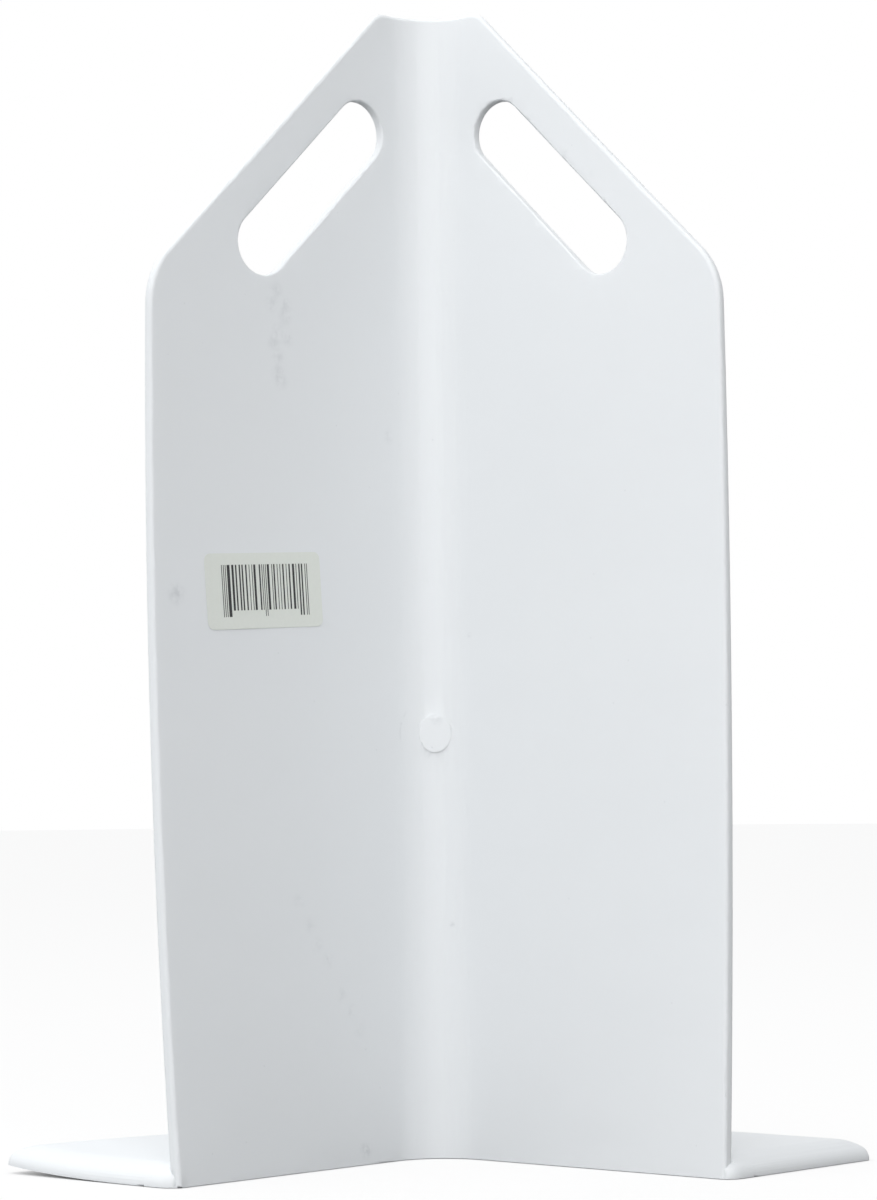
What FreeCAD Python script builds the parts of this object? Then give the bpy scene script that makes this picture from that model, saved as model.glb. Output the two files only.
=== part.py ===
import FreeCAD, Part
import math
import os

# Free-standing corner guard: an injection moulded right angle of two upright walls that stands
# round the outside corner of a building wall, with a foot plate all round its outer side, a
# hand slot near the top of each wall, and one barcode sticker inside.
# Millimetres, +Z up. The origin is where the inner faces of the two walls meet the floor, so
# the corner of the building comes to the Z axis. One wall runs along +X with its inner face at
# about y = 0, and the other runs along -Y with its inner face at about x = 0. The outer side is
# y > 0 and x < 0. The walls have bowed outward a little. Apart from that the guard is the same
# on both sides of the plane x = -y, so their cuts and the foot are made once and mirrored.

# Walls
height = 400.0
wall_width = 125.0
wall_foot_thickness = 4.4
wall_top_thickness = 3.4
inner_corner_radius = 19.5
edge_round = 1.5

# The arcs in which each side of the rounded corner is drawn. Several short ones keep the mesh of
# its tall warped faces light
corner_arcs = 4

# How the moulding has warped. The free end of each wall has bowed outward between the floor
# and the top. The -Y wall also leans outward at its top, and stands inward on the foot plate
right_bow = 5.0
left_bow = 7.2
left_lean_out = 8.3
left_foot_in = 0.5325

# Slanted shoulders
top_flat = 23.5
shoulder_slope = 45.0
shoulder_radius = 26.0
peak_radius = 8.0

# Hand slots, which follow the slanted edges
slot_width = 21.7
slot_length = 84.0
slot_from_slant = 13.6
slot_down_slant = 68.3
slot_edge_chamfer = 0.6

# Foot plate. Its rim rolls over in a wide arc and then a close one, down to a low upright edge
foot_thickness = 7.3
foot_width = 80.0
foot_overhang = 3.0
foot_lip_radius = 10.0
foot_back_radius = 40.0
foot_rim_reach = 10.5
foot_rim_edge = 0.6
foot_rim_radius = 4.7
foot_tip_round = 3.0
foot_root_round = 2.0

# Mark of the injection gate, a flat oval boss on the inner corner, turned to the +X wall
gate_mark_height = 147.0
gate_half_width = 5.5
gate_half_height = 6.6
gate_proud = 0.12
gate_turn = 2.8

# Sticker on the inner face of the -Y wall, on its layer of adhesive
label_width = 50.8
label_height = 25.4
label_corner = 2.5
label_thickness = 0.15
label_adhesive = 0.1
label_from_edge = 47.6
label_centre_height = 194.4
label_lean = 3.4

# Room that the cutting shapes take beyond the faces that they cut
overcut = 20.0

# How near to a plane or a line an edge has to be to count as lying on it
near = 0.01

UP = FreeCAD.Vector(0, 0, 1)
ALONG_X = FreeCAD.Vector(1, 0, 0)
ALONG_Y = FreeCAD.Vector(0, 1, 0)
TO_CORNER = FreeCAD.Vector(-1, 1, 0).normalize()


def point(x, y, z=0.0):
    return FreeCAD.Vector(x, y, z)


def mirrored(shape):
    """The same shape on the other side of the plane x = -y."""
    return shape.mirror(point(0, 0), point(1, 1).normalize())


def round_points(before, corner, after, radius, arcs):
    """Points along the round of a corner: where each of its arcs starts, its middle and its end."""
    to_before = (before - corner).normalize()
    to_after = (after - corner).normalize()
    half_angle = to_before.getAngle(to_after) / 2
    centre = corner + (to_before + to_after).normalize() * (radius / math.sin(half_angle))
    start = corner + to_before * (radius / math.tan(half_angle))
    step = math.degrees(math.pi - 2 * half_angle) / (2 * arcs)
    axis = to_after.cross(to_before)
    turns = [FreeCAD.Rotation(axis, step * index) for index in range(2 * arcs + 1)]
    return [centre + turn.multVec(start - centre) for turn in turns]


def rounded_outline(corners, arcs=1):
    """A closed wire through (point, radius) corners, each rounded by so many tangent arcs."""
    rounds = []
    for index, (corner, radius) in enumerate(corners):
        before = corners[index - 1][0]
        after = corners[(index + 1) % len(corners)][0]
        rounds.append(round_points(before, corner, after, radius, arcs))
    edges = []
    for index, points in enumerate(rounds):
        if corners[index][1] > 0:
            for first in range(0, 2 * arcs, 2):
                edges.append(Part.Arc(*points[first : first + 3]).toShape())
        following = rounds[(index + 1) % len(rounds)][0]
        if points[-1].distanceToPoint(following) > near:
            edges.append(Part.LineSegment(points[-1], following).toShape())
    return Part.Wire(edges)


def right_end(up):
    """How far outward the free end of the +X wall stands at a height."""
    rise = up / height
    return right_bow * 4 * rise * (1 - rise)


def left_end(up):
    """How far outward the free end of the -Y wall stands at a height."""
    return left_lean(up) - left_lean(foot_thickness) - left_foot_in


def left_lean(up):
    """How far the bow and the lean of the -Y wall bring its free end outward at a height."""
    rise = up / height
    return left_bow * 4 * rise * (1 - rise) + left_lean_out * rise


def wall_directions(up):
    """The directions in which the +X wall and the -Y wall run from the corner at a height."""
    right = point(wall_width, right_end(up)).normalize()
    left = point(-left_end(up), -wall_width).normalize()
    return right, left


def corner_axis(up):
    """The middle of the rounded corner between the walls at a height."""
    right, left = wall_directions(up)
    half_angle = right.getAngle(left) / 2
    inward = (right + left).normalize()
    return inward * (inner_corner_radius / math.sin(half_angle)) + UP * up


def wall_section(up):
    """The outline of both walls at a height. Their inner faces would meet on the Z axis."""
    thickness = wall_foot_thickness + (wall_top_thickness - wall_foot_thickness) * up / height
    right, left = wall_directions(up)
    half_angle = right.getAngle(left) / 2
    outer_corner = (right + left).normalize() * (-thickness / math.sin(half_angle))
    outline = rounded_outline(
        [
            (point(wall_width, right_end(up)), 0.0),
            (point(wall_width, right_end(up) + thickness / right.x), 0.0),
            (outer_corner, inner_corner_radius + thickness),
            (point(-left_end(up) + thickness / left.y, -wall_width), 0.0),
            (point(-left_end(up), -wall_width), 0.0),
            (point(0, 0), inner_corner_radius),
        ],
        corner_arcs,
    )
    outline.translate(UP * up)
    return outline


def through_heights(section):
    """A smooth solid through the sections that a function gives at three heights.

    The floor, the middle and the top are enough, as the walls bow in parabolas.
    """
    return Part.makeLoft([section(up) for up in (0.0, height / 2, height)], True, False)


def down_slant(distance, depth):
    """A point of the +X wall, down the slanted edge and in from it, on the inner face."""
    slope = math.radians(shoulder_slope)
    along = top_flat + distance * math.cos(slope) - depth * math.sin(slope)
    up = height - distance * math.sin(slope) - depth * math.cos(slope)
    return point(along, 0, up)


def through_wall(outline):
    """A shape that cuts an outline out of the +X wall."""
    face = Part.Face(outline)
    face.translate(ALONG_Y * -overcut)
    return face.extrude(ALONG_Y * 2 * overcut)


def shoulder_cutter():
    """What is cut away above the slanted edge of the +X wall."""
    slope = math.radians(shoulder_slope)
    fall = (wall_width - top_flat) * math.tan(slope)
    outside = wall_width + overcut
    below = height - fall - shoulder_radius * math.tan(slope / 2)
    return through_wall(
        rounded_outline(
            [
                (point(inner_corner_radius, 0, height), 0.0),
                (point(top_flat, 0, height), peak_radius),
                (point(wall_width, 0, height - fall), shoulder_radius),
                (point(wall_width, 0, below), 0.0),
                (point(outside, 0, below), 0.0),
                (point(outside, 0, height + overcut), 0.0),
                (point(inner_corner_radius, 0, height + overcut), 0.0),
            ]
        )
    )


def slot_cutter():
    """The hand slot of the +X wall: a long hole with round ends, along the slanted edge."""
    radius = slot_width / 2
    middle = slot_from_slant + radius
    upper = slot_down_slant - slot_length / 2
    lower = slot_down_slant + slot_length / 2
    near_side = slot_from_slant
    far_side = slot_from_slant + slot_width
    first = down_slant(upper + radius, near_side)
    second = down_slant(lower - radius, near_side)
    third = down_slant(lower - radius, far_side)
    fourth = down_slant(upper + radius, far_side)
    edges = [
        Part.LineSegment(first, second).toShape(),
        Part.Arc(second, down_slant(lower, middle), third).toShape(),
        Part.LineSegment(third, fourth).toShape(),
        Part.Arc(fourth, down_slant(upper, middle), first).toShape(),
    ]
    return through_wall(Part.Wire(edges))


def on_free_edge(edge):
    """Whether an edge of the walls runs round their outside, and so is rounded."""
    box = edge.BoundBox
    if box.ZMax < near:
        return False
    start = edge.Vertexes[0].Point
    end = edge.Vertexes[-1].Point
    across = abs(start.z - end.z) < near and not on_one_side(start, end)
    seam_of_corner = box.ZLength > height - near
    return not across and not seam_of_corner


def on_one_side(start, end):
    """Whether two points of an edge lie both on the inner side or both on the outer side."""
    return is_inner(start) == is_inner(end)


def is_inner(at):
    """Whether a point of the walls' surface lies on their inner side."""
    return off_inner_side(at) < wall_top_thickness / 2


def off_inner_side(at):
    """How far outward a point lies from the inner side of the walls."""
    right, left = wall_directions(at.z)
    from_axis = at - corner_axis(at.z)
    if from_axis.dot(right) > 0:
        return UP.cross(right).dot(at)
    if from_axis.dot(left) > 0:
        return left.cross(UP).dot(at)
    return from_axis.Length - inner_corner_radius


def walls():
    """Both walls with their rounded edges and shoulders, and their chamfered hand slots."""
    shape = through_heights(wall_section)
    shoulder = shoulder_cutter()
    shape = shape.cut([shoulder, mirrored(shoulder)])
    outside = [edge for edge in shape.Edges if on_free_edge(edge)]
    shape = shape.makeFillet(edge_round, outside)
    slot = slot_cutter()
    shape = shape.cut([slot, mirrored(slot)])
    rims = [edge for edge in shape.Edges if is_slot_rim(edge)]
    return shape.makeChamfer(slot_edge_chamfer, rims)


def is_slot_rim(edge):
    """Whether an edge runs round a hand slot, on the inner or the outer face of its wall."""
    radius = slot_width / 2
    upper = down_slant(slot_down_slant - slot_length / 2 + radius, slot_from_slant + radius)
    lower = down_slant(slot_down_slant + slot_length / 2 - radius, slot_from_slant + radius)
    run = (lower - upper).normalize()
    middle = edge.valueAt((edge.FirstParameter + edge.LastParameter) / 2)
    if middle.x > -middle.y:
        flat = point(middle.x, 0, middle.z)
    else:
        flat = point(-middle.y, 0, middle.z)
    along = min(max((flat - upper).dot(run), 0.0), (lower - upper).Length)
    on_outline = abs((flat - upper - run * along).Length - radius) < near
    start = edge.Vertexes[0].Point
    end = edge.Vertexes[-1].Point
    return on_outline and on_one_side(start, end)


def foot_outline():
    """The plan of the foot plate. Its inner side runs inside the walls, which it joins."""
    half_wall = wall_foot_thickness / 2
    seat = half_wall / 2
    front = wall_width + foot_overhang
    step = front - foot_lip_radius
    side = [
        (point(step, seat), 0.0),
        (point(step, half_wall), 0.0),
        (point(front, half_wall), foot_lip_radius),
        (point(front, foot_width), 0.0),
    ]
    other_side = [(point(-at.y, -at.x), radius) for at, radius in reversed(side)]
    back_corner = (point(-foot_width, foot_width), foot_back_radius)
    inner_corner = (point(-seat, seat), inner_corner_radius + seat)
    return rounded_outline(side + [back_corner] + other_side + [inner_corner])


def rim_section(edge, inward):
    """What the roll of the rim takes off, drawn upright at a point of the plate's edge."""
    drop = foot_thickness - foot_rim_edge
    reach = foot_rim_reach
    close = foot_rim_radius
    wide = (reach**2 + drop**2 - 2 * reach * close) / (2 * (drop - close))
    low = edge + UP * foot_rim_edge
    top = edge + UP * foot_thickness + inward * reach
    close_centre = low + inward * close
    wide_centre = top - UP * wide
    meeting = (close_centre - wide_centre).normalize()
    join = close_centre + meeting * close
    close_middle = close_centre + (meeting - inward).normalize() * close
    wide_middle = wide_centre + (meeting + UP).normalize() * wide
    above = top + (UP - inward) * overcut
    outside = point(above.x, above.y, low.z) - inward * overcut
    return Part.Wire(
        [
            Part.Arc(low, close_middle, join).toShape(),
            Part.Arc(join, wide_middle, top).toShape(),
            Part.makeLine(top, above),
            Part.makeLine(above, outside),
            Part.makeLine(outside, low),
        ]
    )


def front_rim_cutter():
    """The roll along the front edge of the plate, at the end of the +X wall."""
    start = point(wall_width + foot_overhang, -overcut)
    section = rim_section(start, ALONG_X * -1)
    return Part.Face(section).extrude(ALONG_Y * (foot_width + 2 * overcut))


def back_rim_cutter():
    """The roll along both far edges of the plate and round its back corner."""
    past_front = wall_width + foot_overhang + overcut
    turn = foot_width - foot_back_radius
    middle = point(-turn, turn) + TO_CORNER * foot_back_radius
    start = point(past_front, foot_width)
    path = Part.Wire(
        [
            Part.makeLine(start, point(-turn, foot_width)),
            Part.Arc(point(-turn, foot_width), middle, point(-foot_width, turn)).toShape(),
            Part.makeLine(point(-foot_width, turn), point(-foot_width, -past_front)),
        ]
    )
    return path.makePipeShell([rim_section(start, ALONG_Y * -1)], True, True)


def is_tip(edge):
    """Whether an edge rises at a tip of the plate, where two rolled rims meet."""
    box = edge.BoundBox
    middle = edge.valueAt((edge.FirstParameter + edge.LastParameter) / 2)
    along = max(middle.x, -middle.y)
    out = max(middle.y, -middle.x)
    by_front = along > wall_width + foot_overhang - foot_rim_reach
    by_side = out > foot_width - foot_rim_reach
    return by_front and by_side and box.ZLength > near


def is_root(edge):
    """Whether an edge lies where the outer faces of the walls meet the top of the plate."""
    box = edge.BoundBox
    if abs(box.ZMin - foot_thickness) > near or abs(box.ZMax - foot_thickness) > near:
        return False
    middle = edge.valueAt((edge.FirstParameter + edge.LastParameter) / 2)
    out = max(middle.y, -middle.x)
    along = max(middle.x, -middle.y)
    return out < 2 * wall_foot_thickness and along < wall_width - edge_round


def gate_boss():
    """The boss that the injection gate leaves. Its flat face is just proud at its sides."""
    to_sides = math.sqrt(inner_corner_radius**2 - gate_half_width**2)
    to_face = to_sides - gate_proud
    to_root = inner_corner_radius + wall_top_thickness / 2
    outward = FreeCAD.Rotation(UP, -gate_turn).multVec(TO_CORNER)
    sideways = UP.cross(outward)
    face = corner_axis(gate_mark_height) + outward * to_face
    oval = Part.Ellipse(face + UP * gate_half_height, face + sideways * gate_half_width, face)
    return Part.Face(Part.Wire(oval.toShape())).extrude(outward * (to_root - to_face))


def corner_guard():
    """The whole moulding: walls, foot plate and gate boss in one piece.

    The root of the plate is rounded before its rims are rolled, so that the round runs out on
    the rims.
    """
    upright = walls()
    plate = Part.Face(foot_outline()).extrude(UP * foot_thickness)
    guard = upright.fuse(plate).removeSplitter()
    root = [edge for edge in guard.Edges if is_root(edge)]
    guard = guard.makeFillet(foot_root_round, root)
    front = front_rim_cutter()
    rolls = [front.cut(upright), mirrored(front).cut(upright), back_rim_cutter()]
    guard = guard.cut(rolls)
    tips = [edge for edge in guard.Edges if is_tip(edge)]
    guard = guard.makeFillet(foot_tip_round, tips)
    return guard.fuse(gate_boss())


def skin_section(up):
    """The section of the sticker's layer off the inner face of the -Y wall at a height."""
    left = wall_directions(up)[1]
    start = left * (inner_corner_radius / abs(left.y)) + UP * up
    end = point(-left_end(up), -wall_width, up)
    back = ALONG_X * label_adhesive
    front = back + ALONG_X * label_thickness
    return Part.makePolygon([start + back, end + back, end + front, start + front, start + back])


def barcode_label():
    """The sticker, a rectangle with round corners that lies leaning a little on its wall."""
    half_width = label_width / 2
    half_height = label_height / 2
    outline = rounded_outline(
        [
            (point(0, -half_width, -half_height), label_corner),
            (point(0, half_width, -half_height), label_corner),
            (point(0, half_width, half_height), label_corner),
            (point(0, -half_width, half_height), label_corner),
        ]
    )
    outline.rotate(point(0, 0), ALONG_X, label_lean)
    outline.translate(point(-overcut, label_from_edge - wall_width, label_centre_height))
    return through_heights(skin_section).common(Part.Face(outline).extrude(ALONG_X * 2 * overcut))


parts = {
    "corner_guard": corner_guard(),
    "barcode_label": barcode_label(),
}

os.makedirs("parts", exist_ok=True)
for name, shape in parts.items():
    shape.exportStep("parts/" + name + ".step")
    print(name, shape.isValid(), len(shape.Solids), round(shape.Volume), shape.BoundBox)
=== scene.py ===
import math
import random

import bmesh
import bpy
from mathutils import Matrix, Vector


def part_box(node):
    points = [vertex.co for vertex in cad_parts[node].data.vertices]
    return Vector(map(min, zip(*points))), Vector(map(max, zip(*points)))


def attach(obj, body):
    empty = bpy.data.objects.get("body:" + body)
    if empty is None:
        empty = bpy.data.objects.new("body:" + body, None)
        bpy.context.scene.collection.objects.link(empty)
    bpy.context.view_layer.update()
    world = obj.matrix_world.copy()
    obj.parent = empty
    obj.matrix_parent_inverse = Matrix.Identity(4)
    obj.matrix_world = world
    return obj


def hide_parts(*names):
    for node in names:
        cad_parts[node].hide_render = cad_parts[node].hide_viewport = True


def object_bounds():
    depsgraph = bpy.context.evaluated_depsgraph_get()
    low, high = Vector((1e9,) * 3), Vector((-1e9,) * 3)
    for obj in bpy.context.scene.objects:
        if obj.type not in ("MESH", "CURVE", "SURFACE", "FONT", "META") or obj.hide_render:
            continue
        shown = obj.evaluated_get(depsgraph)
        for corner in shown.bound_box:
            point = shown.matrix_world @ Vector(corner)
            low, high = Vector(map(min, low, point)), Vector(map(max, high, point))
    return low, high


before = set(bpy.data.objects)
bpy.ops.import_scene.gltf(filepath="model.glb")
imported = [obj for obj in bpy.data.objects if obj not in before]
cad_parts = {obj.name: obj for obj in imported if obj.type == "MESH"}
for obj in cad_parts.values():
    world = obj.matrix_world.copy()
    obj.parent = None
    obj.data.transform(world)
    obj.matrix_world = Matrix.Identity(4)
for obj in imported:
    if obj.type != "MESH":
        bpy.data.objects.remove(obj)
cad_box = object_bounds()

# The corner guard stands free on the floor. Metres, +Z up. The inner faces of its walls lie near
# y = 0 for the wall along +X, on the right in the picture, and near x = 0 for the wall along -Y.
wall_height = 0.400
wall_width = 0.125
wall_foot_thickness = 0.0044
foot_top = 0.0073

# How the foot under the left wall has curled up off the floor towards its tip
foot_lift = 0.0028
foot_curl = 3.0
foot_curl_run = 0.120

# The rolled rim of the foot, and how its front ends at a wall, as (distance out from the wall's
# inner face, how far the front is drawn back)
rim_edge = 0.0006
rim_radius = 0.0047
rim_reach = 0.0105
rim_steps = 6
foot_front = 0.128
rim_end = [
    (0.0004, 0.0030),
    (0.0012, 0.0019),
    (0.0024, 0.0010),
    (0.0040, 0.0003),
    (0.0060, 0.0),
    (0.0124, 0.0),
]

# How finely the walls and the foot are cut before they are warped
cut_step = 0.008
merge_distance = 0.000002
flat_angle = math.radians(0.05)
sharp_angle = math.radians(32)

# White plastic: its two cloudy tones, its gloss and its fine grain
plastic_tones = [(0.80, 0.822, 0.84, 1.0), (0.825, 0.845, 0.86, 1.0)]
plastic_specular = 0.45
plastic_roughness = (0.42, 0.52)
cloud_scale = 14.0
grain_scale = 1400.0
grain_strength = 0.25
grain_depth = 0.00003

# Dirt on the inside of the left wall, in millimetres from the corner along it and above the
# floor, with its radius and how dark it is, and scuffs of one size there as (along, up)
millimetre = 0.001
left_wall_dirt = [(115.3, 191.7, 5.0, 0.13), (36.0, 4.9, 4.0, 0.13), (19.8, 250.5, 3.6, 0.06)]
upper_scuff = [
    (71, 297),
    (73, 292),
    (67, 292),
    (67, 288),
    (70, 283),
    (66, 281),
    (72, 279),
    (70, 274),
    (70, 269),
    (69, 266),
]
lower_scuff = [(65, 90), (60, 82), (57, 75), (52, 70), (46, 58), (42, 52), (38, 46)]
scuff_radius = 4.0
scuff_dark = 0.075
lower_scuff_dark = 0.045

# Specks and the gate's own dirt round the corner, as x, y and z, radius and how dark. The last is
# not dirt but painted shade along the top edge of the gate's boss, which faces up.
corner_dirt_and_shade = [
    (17.1, -0.1, 181.1, 1.6, 0.18),
    (10.3, -2.2, 80.4, 1.6, 0.18),
    (5.4, -5.8, 142.6, 1.1, 0.80),
    # Painted shade along the top edge of the gate's boss
    (6.2, -5.0, 152.3, 3.6, 0.08),
]

# A faint ring round the gate, of which only the left end shows
gate_centre = (6.2, -5.1, 146.8)
gate_ring_radius = 12.9
gate_ring_width = 0.6
gate_ring_dark = 0.10
gate_ring_left = (0.1, -16.5, 149.0)
gate_ring_length = 9.0

# Specks all over, and the noise that breaks up the other dirt and the painted shade on the gate
speck_scale = 90.0
speck_size = 0.045
speck_dark = 0.16
patch_scale = 420.0
patch_range = (0.38, 0.62)
patch_most = 2.0
dirt_and_shade_colour = (0.30, 0.32, 0.35, 1.0)

# Sticker and the bars printed on it
label_lean = math.radians(3.4)
bar_height = 0.0153
guard_bar_extra = 0.0021
bar_top = 0.0088
bar_row_start = -0.0184
bar_rows = 4
bar_module = 0.0004
ink_share = 0.78
bar_proud = 0.00002
bar_seed = 11
digit_modules = 7
digits_each_side = 6
paper_tones = [(0.75, 0.78, 0.73, 1.0), (0.79, 0.815, 0.77, 1.0)]
paper_roughness = 0.6
fibre_scale = 900.0
ink_tones = [(0.012, 0.012, 0.014, 1.0), (0.05, 0.05, 0.052, 1.0)]
ink_roughness = 0.55
ink_speckle_scale = 5000.0

# Camera, which stands level with the lower part of the guard and looks up a little
photo_width = 877
camera_azimuth = math.radians(41.774)
camera_distance = 1.16963
camera_height = 0.11789
camera_look_up = math.radians(3.73)
camera_turn = math.radians(-0.125)
camera_roll = math.radians(-0.528)
focal_pixels = 3326.7
sensor_width = 36.0

# Light. The sky has an even level, and more towards each side by the strength after it
white = (1.0, 1.0, 1.0, 1.0)
sky_colour = (0.97, 0.985, 1.0, 1.0)
sky_level = 0.13
sky_sides = [((-1, 0, 0), 1.22), ((0, -1, 0), 0.80), ((0, 1, 0), 0.62)]

# Lamps as azimuth from -Y towards +X and elevation, in degrees, and power in watts
lamps = [(10, 20, 3.5), (45, 22, 23.5), (15, 80, 15.5)]
lamp_distance = 2.4
lamp_size = 1.4

# Floor: how white the camera sees it, how dark it is as a source of bounced light, and how near
# a surface has to be above it for the white to give way to real shadow
floor_size = 60.0
floor_drop = 0.0002
floor_roughness = 0.9
floor_white_share = 0.85
floor_seen_tone = 0.9
floor_bounce_tone = 0.2
floor_gap_reach = 0.004


def new_material(name):
    """A new material, its nodes and its shader."""
    material = bpy.data.materials.new(name)
    material.use_nodes = True
    tree = material.node_tree
    return material, tree, tree.nodes["Principled BSDF"]


def add_node(tree, kind, **inputs):
    """A new node. Inputs are given by name, as a value or as the socket to link from."""
    made = tree.nodes.new(kind)
    for name, value in inputs.items():
        socket = made.inputs[name.replace("_", " ")]
        if isinstance(value, bpy.types.NodeSocket):
            tree.links.new(value, socket)
        else:
            socket.default_value = value
    return made


def calculate(tree, operation, first, second=0.0):
    """The result of a sum. Each input is a value or the socket to link from."""
    made = tree.nodes.new("ShaderNodeMath")
    made.operation = operation
    for socket, value in zip(made.inputs, (first, second)):
        if isinstance(value, bpy.types.NodeSocket):
            tree.links.new(value, socket)
        else:
            socket.default_value = value
    return made.outputs[0]


def mixed(tree, factor, first, second):
    """The colour between two others. The first may be a socket to link from."""
    made = tree.nodes.new("ShaderNodeMix")
    made.data_type = "RGBA"
    tree.links.new(factor, made.inputs["Factor"])
    if isinstance(first, bpy.types.NodeSocket):
        tree.links.new(first, made.inputs["A"])
    else:
        made.inputs["A"].default_value = first
    made.inputs["B"].default_value = second
    return made.outputs["Result"]


def curled(at):
    """Where a point of the flat foot lies on the curled foot under the left wall."""
    reach = -cad_box[0][0] - wall_foot_thickness
    out = (-at.x - wall_foot_thickness) / reach
    if out <= 0 or at.y >= 0 or at.z > foot_top + merge_distance:
        return at
    along = min(-at.y / foot_curl_run, 1.0)
    return at + Vector((0, 0, foot_lift * out**foot_curl * along**2 * (3 - 2 * along)))


def rim_profile():
    """The outline of the rolled rim as (distance in from the front, height)."""
    drop = foot_top - rim_edge
    wide = (rim_reach**2 + drop**2 - 2 * rim_reach * rim_radius) / (2 * (drop - rim_radius))
    meeting = math.atan2(rim_edge - foot_top + wide, rim_radius - rim_reach)
    outline = [(0.0, 0.0)]
    for index in range(rim_steps + 1):
        turn = math.pi + (meeting - math.pi) * index / rim_steps
        outline.append(
            (rim_radius + rim_radius * math.cos(turn), rim_edge + rim_radius * math.sin(turn))
        )
    for index in range(1, rim_steps + 1):
        turn = meeting + (math.pi / 2 - meeting) * index / rim_steps
        outline.append((rim_reach + wide * math.cos(turn), foot_top - wide + wide * math.sin(turn)))
    outline.append((rim_reach, 0.0))
    return outline


def add_rim_ends(mesh_data):
    """The last of the foot's front rim, which runs square up to the end of each wall."""
    for is_left in (False, True):
        rows = []
        for out, drawn_back in rim_end:
            row = []
            for inward, up in rim_profile():
                along = foot_front - drawn_back - inward
                place = (-out, -along, up) if is_left else (along, out, up)
                row.append(mesh_data.verts.new(place))
            rows.append(row)
        faces = [mesh_data.faces.new(rows[0]), mesh_data.faces.new(rows[-1])]
        for first, second in zip(rows, rows[1:]):
            for index in range(len(first)):
                after = (index + 1) % len(first)
                corners = (first[index], first[after], second[after], second[index])
                faces.append(mesh_data.faces.new(corners))
        bmesh.ops.recalc_face_normals(mesh_data, faces=faces)


def curled_copy(node_name, name, step):
    """A copy of a CAD node with the rim's ends, cut small and curled, that stands for it."""
    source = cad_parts[node_name]
    lowest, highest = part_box(node_name)
    mesh_data = bmesh.new()
    mesh_data.from_mesh(source.data)
    bmesh.ops.remove_doubles(mesh_data, verts=mesh_data.verts, dist=merge_distance)
    bmesh.ops.dissolve_limit(
        mesh_data, angle_limit=flat_angle, verts=mesh_data.verts, edges=mesh_data.edges
    )
    for axis in range(3):
        normal = Vector((0, 0, 0))
        normal[axis] = 1.0
        first = math.floor(lowest[axis] / step) + 1
        last = math.ceil(highest[axis] / step)
        for index in range(first, last):
            bmesh.ops.bisect_plane(
                mesh_data,
                geom=mesh_data.verts[:] + mesh_data.edges[:] + mesh_data.faces[:],
                dist=merge_distance,
                plane_co=normal * (index * step),
                plane_no=normal,
            )
    add_rim_ends(mesh_data)
    for vertex in mesh_data.verts:
        vertex.co = curled(vertex.co)
    mesh = bpy.data.meshes.new(name)
    mesh_data.to_mesh(mesh)
    mesh_data.free()
    mesh.shade_smooth()
    mesh.set_sharp_from_angle(angle=sharp_angle)
    piece = bpy.data.objects.new(name, mesh)
    bpy.context.scene.collection.objects.link(piece)
    weighted = piece.modifiers.new("even shading", "WEIGHTED_NORMAL")
    weighted.keep_sharp = True
    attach(piece, "root")
    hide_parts(node_name)
    return piece


def on_left_wall(along, up):
    """The point of the left wall's inner face at a place given in millimetres."""
    start = Vector((wall_width, -along * millimetre, up * millimetre))
    hit, place, normal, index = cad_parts["corner_guard"].ray_cast(start, Vector((-1, 0, 0)))
    return place


def fading(tree, distance, reach, strength):
    """A value that is full where the distance is nothing and gone at the reach."""
    made = add_node(tree, "ShaderNodeMapRange", Value=distance)
    made.interpolation_type = "SMOOTHSTEP"
    made.inputs["From Max"].default_value = reach
    made.inputs["To Min"].default_value = strength
    made.inputs["To Max"].default_value = 0.0
    return made.outputs["Result"]


def distance_to(tree, where, place):
    """How far the shaded point lies from a place."""
    made = tree.nodes.new("ShaderNodeVectorMath")
    made.operation = "DISTANCE"
    tree.links.new(where, made.inputs[0])
    made.inputs[1].default_value = place
    return made.outputs["Value"]


def dirt_and_shade_share(tree, where):
    """How dirty the plastic is: spots, scuffs, specks and the ring round the gate, with painted
    shade on the top edge of the gate's boss.
    """
    spots = [(on_left_wall(along, up), radius, dark) for along, up, radius, dark in left_wall_dirt]
    spots += [(on_left_wall(*at), scuff_radius, scuff_dark) for at in upper_scuff]
    spots += [(on_left_wall(*at), scuff_radius, lower_scuff_dark) for at in lower_scuff]
    spots += [(Vector(at) * millimetre, radius, dark) for *at, radius, dark in corner_dirt_and_shade]
    total = 0.0
    for place, radius, dark in spots:
        spot = fading(tree, distance_to(tree, where, place), radius * millimetre, dark)
        total = calculate(tree, "ADD", spot, total)
    from_gate = distance_to(tree, where, Vector(gate_centre) * millimetre)
    from_ring = calculate(tree, "SUBTRACT", from_gate, gate_ring_radius * millimetre)
    from_ring = calculate(tree, "ABSOLUTE", from_ring)
    ring = fading(tree, from_ring, gate_ring_width * millimetre, gate_ring_dark)
    from_end = distance_to(tree, where, Vector(gate_ring_left) * millimetre)
    near_end = fading(tree, from_end, gate_ring_length * millimetre, 1.0)
    ring = calculate(tree, "MULTIPLY", ring, near_end)
    total = calculate(tree, "ADD", total, ring)
    cells = add_node(tree, "ShaderNodeTexVoronoi", Vector=where, Scale=speck_scale)
    speck = fading(tree, cells.outputs["Distance"], speck_size, speck_dark)
    patchy = add_node(tree, "ShaderNodeTexNoise", Vector=where, Scale=patch_scale, Detail=3.0)
    broken = add_node(tree, "ShaderNodeMapRange", Value=patchy.outputs["Fac"])
    broken.inputs["From Min"].default_value = patch_range[0]
    broken.inputs["From Max"].default_value = patch_range[1]
    broken.inputs["To Max"].default_value = patch_most
    total = calculate(tree, "MULTIPLY", total, broken.outputs["Result"])
    return calculate(tree, "ADD", total, speck)


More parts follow.
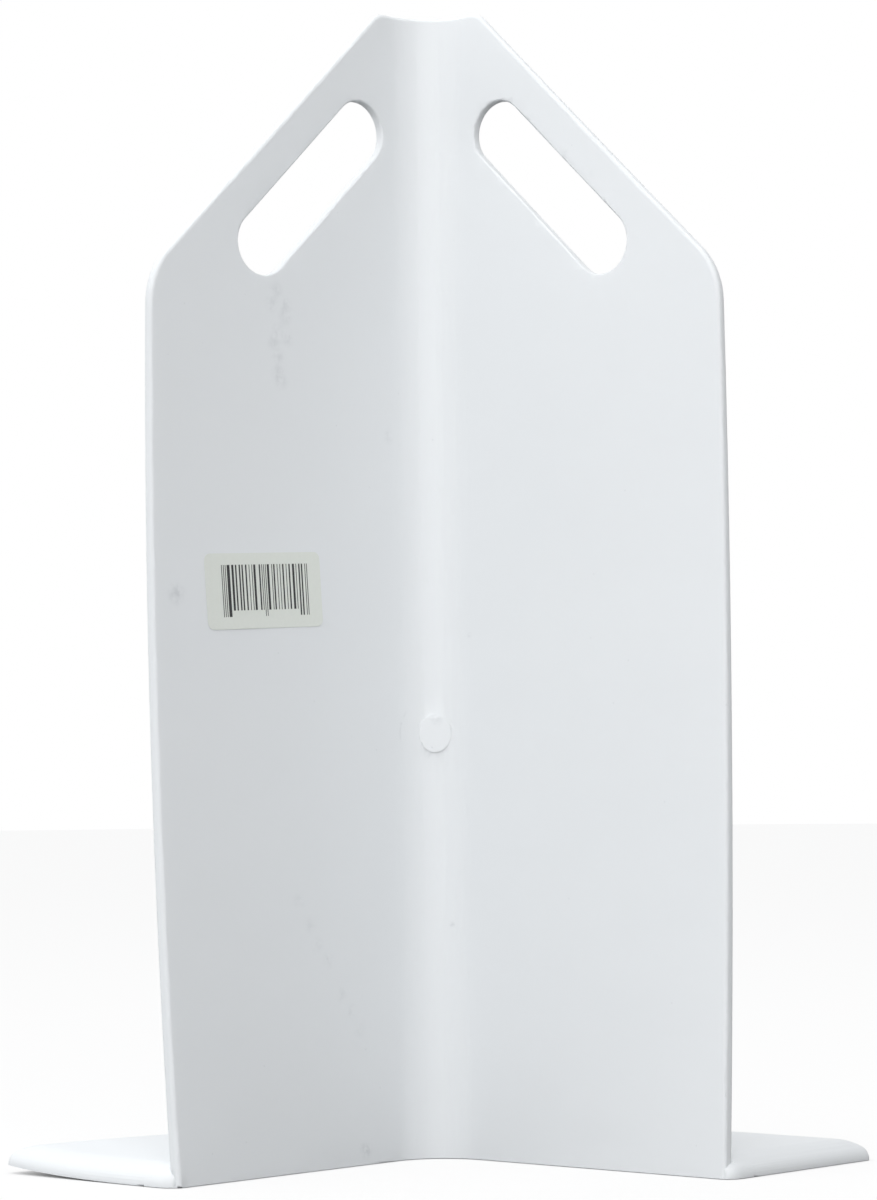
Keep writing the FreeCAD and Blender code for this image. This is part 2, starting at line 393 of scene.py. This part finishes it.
def plastic_material():
    """White injection moulded plastic with a satin skin."""
    material, tree, shader = new_material("white_plastic")
    shader.inputs["Specular IOR Level"].default_value = plastic_specular
    where = tree.nodes.new("ShaderNodeTexCoord").outputs["Object"]
    clouds = add_node(tree, "ShaderNodeTexNoise", Vector=where, Scale=cloud_scale, Detail=3.0)
    tone = mixed(tree, clouds.outputs["Fac"], *plastic_tones)
    # Dirt, and painted shade on the top edge of the gate's boss, darken the plastic's tone
    soiled_and_shaded = mixed(tree, dirt_and_shade_share(tree, where), tone, dirt_and_shade_colour)
    tree.links.new(soiled_and_shaded, shader.inputs["Base Color"])
    grain = add_node(tree, "ShaderNodeTexNoise", Vector=where, Scale=grain_scale, Detail=2.0)
    rough = add_node(tree, "ShaderNodeMapRange", Value=clouds.outputs["Fac"])
    rough.inputs["To Min"].default_value = plastic_roughness[0]
    rough.inputs["To Max"].default_value = plastic_roughness[1]
    tree.links.new(rough.outputs["Result"], shader.inputs["Roughness"])
    bump = add_node(tree, "ShaderNodeBump", Height=grain.outputs["Fac"])
    bump.inputs["Strength"].default_value = grain_strength
    bump.inputs["Distance"].default_value = grain_depth
    tree.links.new(bump.outputs["Normal"], shader.inputs["Normal"])
    return material


def paper_material():
    """Matt white label stock."""
    material, tree, shader = new_material("label_stock")
    where = tree.nodes.new("ShaderNodeTexCoord").outputs["Object"]
    fibres = add_node(tree, "ShaderNodeTexNoise", Vector=where, Scale=fibre_scale, Detail=4.0)
    tree.links.new(mixed(tree, fibres.outputs["Fac"], *paper_tones), shader.inputs["Base Color"])
    shader.inputs["Roughness"].default_value = paper_roughness
    return material


def ink_material():
    """Thermal printed black."""
    material, tree, shader = new_material("printed_bars")
    where = tree.nodes.new("ShaderNodeTexCoord").outputs["Object"]
    speckle = add_node(tree, "ShaderNodeTexNoise", Vector=where, Scale=ink_speckle_scale, Detail=2.0)
    tree.links.new(mixed(tree, speckle.outputs["Fac"], *ink_tones), shader.inputs["Base Color"])
    shader.inputs["Roughness"].default_value = ink_roughness
    return material


def digit_widths(dice):
    """The widths of the four bars and gaps of one digit, in modules. They are made up."""
    widths = [1, 1, 1, 1]
    for spare in range(digit_modules - len(widths)):
        widths[dice.randrange(len(widths))] += 1
    return widths


def bar_pattern():
    """Made-up bars across the row, as (left, right, is_long). They stand for no number."""
    dice = random.Random(bar_seed)
    guard_bar = [1, 1, 1]
    digits = [digit_widths(dice) for digit in range(2 * digits_each_side)]
    left_digits = sum(digits[1:digits_each_side], [])
    right_digits = sum(digits[digits_each_side:-1], [])
    groups = [
        (guard_bar, True, True),
        (digits[0], False, True),
        (left_digits, False, False),
        ([1, 1, 1, 1, 1], False, True),
        (right_digits, True, False),
        (digits[-1], True, True),
        (guard_bar, True, True),
    ]
    bars = []
    at = 0
    for widths, is_ink, is_long in groups:
        for width in widths:
            if is_ink:
                bars.append((at * bar_module, (at + width * ink_share) * bar_module, is_long))
            at += width
            is_ink = not is_ink
    return bars


def on_sticker(sticker, at):
    """The point just above the sticker's face that lies in front of a point."""
    hit, place, normal, index = sticker.ray_cast(at + Vector((wall_width, 0, 0)), Vector((-1, 0, 0)))
    return place + normal * bar_proud


def printed_bars(material):
    """The bars of the sticker, as thin strips just above its face."""
    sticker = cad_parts["barcode_label"]
    lowest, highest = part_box("barcode_label")
    centre = (lowest + highest) / 2
    to_corner = Vector((0, math.cos(label_lean), math.sin(label_lean)))
    upward = Vector((0, -math.sin(label_lean), math.cos(label_lean)))
    strips = bmesh.new()
    for left, right, long_bar in bar_pattern():
        height = bar_height + (guard_bar_extra if long_bar else 0.0)
        rows = []
        for row in range(bar_rows + 1):
            up = bar_top - height * row / bar_rows
            ends = []
            for across in (left, right):
                at = centre + to_corner * (bar_row_start + across) + upward * up
                ends.append(strips.verts.new(on_sticker(sticker, at)))
            rows.append(ends)
        for above, below in zip(rows, rows[1:]):
            strips.faces.new((above[0], below[0], below[1], above[1]))
    mesh = bpy.data.meshes.new("sticker_bars")
    strips.to_mesh(mesh)
    strips.free()
    mesh.materials.append(material)
    bars = bpy.data.objects.new("sticker_bars", mesh)
    bpy.context.scene.collection.objects.link(bars)
    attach(bars, "root")


def add_camera():
    """The camera, with the photo's place and lens."""
    turned = camera_azimuth + camera_turn
    place = Vector(
        (
            camera_distance * math.sin(camera_azimuth),
            -camera_distance * math.cos(camera_azimuth),
            camera_height,
        )
    )
    ahead = Vector(
        (
            -math.sin(turned) * math.cos(camera_look_up),
            math.cos(turned) * math.cos(camera_look_up),
            math.sin(camera_look_up),
        )
    )
    level = Vector((math.cos(turned), math.sin(turned), 0.0))
    above = level.cross(ahead)
    right = level * math.cos(camera_roll) + above * math.sin(camera_roll)
    top = above * math.cos(camera_roll) - level * math.sin(camera_roll)
    data = bpy.data.cameras.new("camera")
    data.sensor_fit = "HORIZONTAL"
    data.sensor_width = sensor_width
    data.lens = focal_pixels / photo_width * sensor_width
    camera = bpy.data.objects.new("camera", data)
    camera.matrix_world = Matrix.Translation(place) @ Matrix(
        (right, top, -ahead)
    ).transposed().to_4x4()
    bpy.context.scene.collection.objects.link(camera)
    bpy.context.scene.camera = camera


def add_world():
    """A soft sky for the object, and plain white behind it for the camera."""
    bpy.context.scene.view_settings.view_transform = "Standard"
    world = bpy.data.worlds.new("studio")
    world.use_nodes = True
    bpy.context.scene.world = world
    tree = world.node_tree
    towards = tree.nodes.new("ShaderNodeTexCoord").outputs["Generated"]
    level = sky_level
    for side, strength in sky_sides:
        lean = tree.nodes.new("ShaderNodeVectorMath")
        lean.operation = "DOT_PRODUCT"
        tree.links.new(towards, lean.inputs[0])
        lean.inputs[1].default_value = side
        share = calculate(tree, "MAXIMUM", lean.outputs["Value"], 0.0)
        share = calculate(tree, "MULTIPLY", share, strength)
        level = calculate(tree, "ADD", share, level)
    sky = tree.nodes["Background"]
    sky.inputs["Color"].default_value = sky_colour
    tree.links.new(level, sky.inputs["Strength"])
    backdrop = add_node(tree, "ShaderNodeBackground", Color=white, Strength=1.0)
    path = tree.nodes.new("ShaderNodeLightPath")
    seen = path.outputs["Is Camera Ray"]
    seen = calculate(tree, "MAXIMUM", seen, path.outputs["Is Glossy Ray"])
    seen = calculate(tree, "MAXIMUM", seen, path.outputs["Is Transmission Ray"])
    mix = tree.nodes.new("ShaderNodeMixShader")
    tree.links.new(seen, mix.inputs[0])
    tree.links.new(sky.outputs[0], mix.inputs[1])
    tree.links.new(backdrop.outputs[0], mix.inputs[2])
    tree.links.new(mix.outputs[0], tree.nodes["World Output"].inputs["Surface"])


def add_lamp(azimuth, elevation, power):
    """A square soft lamp that looks at the middle of the guard."""
    data = bpy.data.lights.new("softbox", "AREA")
    data.shape = "SQUARE"
    data.size = lamp_size
    data.energy = power
    light = bpy.data.objects.new("softbox", data)
    flat = lamp_distance * math.cos(elevation)
    light.location = (
        flat * math.sin(azimuth),
        -flat * math.cos(azimuth),
        lamp_distance * math.sin(elevation),
    )
    aim = Vector((0, 0, wall_height / 2)) - light.location
    light.rotation_euler = aim.to_track_quat("-Z", "Y").to_euler()
    bpy.context.scene.collection.objects.link(light)


def add_floor():
    """A pale floor, white to the camera but for the gap under the foot and the soft shadow."""
    half = floor_size / 2
    mesh = bpy.data.meshes.new("floor")
    corners = [(-half, -half), (half, -half), (half, half), (-half, half)]
    mesh.from_pydata([(x, y, -floor_drop) for x, y in corners], [], [(0, 1, 2, 3)])
    floor = bpy.data.objects.new("floor", mesh)
    bpy.context.scene.collection.objects.link(floor)
    material, tree, shader = new_material("pale_floor")
    shader.inputs["Roughness"].default_value = floor_roughness
    glow = add_node(tree, "ShaderNodeEmission", Color=white, Strength=1.0)
    seen = tree.nodes.new("ShaderNodeLightPath").outputs["Is Camera Ray"]
    tone = calculate(tree, "MULTIPLY", seen, floor_seen_tone - floor_bounce_tone)
    tone = calculate(tree, "ADD", tone, floor_bounce_tone)
    tree.links.new(tone, shader.inputs["Base Color"])
    gap = add_node(tree, "ShaderNodeAmbientOcclusion", Distance=floor_gap_reach)
    share = calculate(tree, "MULTIPLY", seen, floor_white_share)
    share = calculate(tree, "MULTIPLY", share, gap.outputs["AO"])
    mix = tree.nodes.new("ShaderNodeMixShader")
    tree.links.new(share, mix.inputs[0])
    tree.links.new(shader.outputs[0], mix.inputs[1])
    tree.links.new(glow.outputs[0], mix.inputs[2])
    tree.links.new(mix.outputs[0], tree.nodes["Material Output"].inputs["Surface"])
    mesh.materials.append(material)


white_plastic = plastic_material()
guard = curled_copy("corner_guard", "guard_moulding", cut_step)
guard.data.materials.clear()
guard.data.materials.append(white_plastic)

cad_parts["barcode_label"].material_slots[0].material = paper_material()

printed_bars(ink_material())

add_camera()
add_world()
for azimuth, elevation, power in lamps:
    add_lamp(math.radians(azimuth), math.radians(elevation), power)
add_floor()
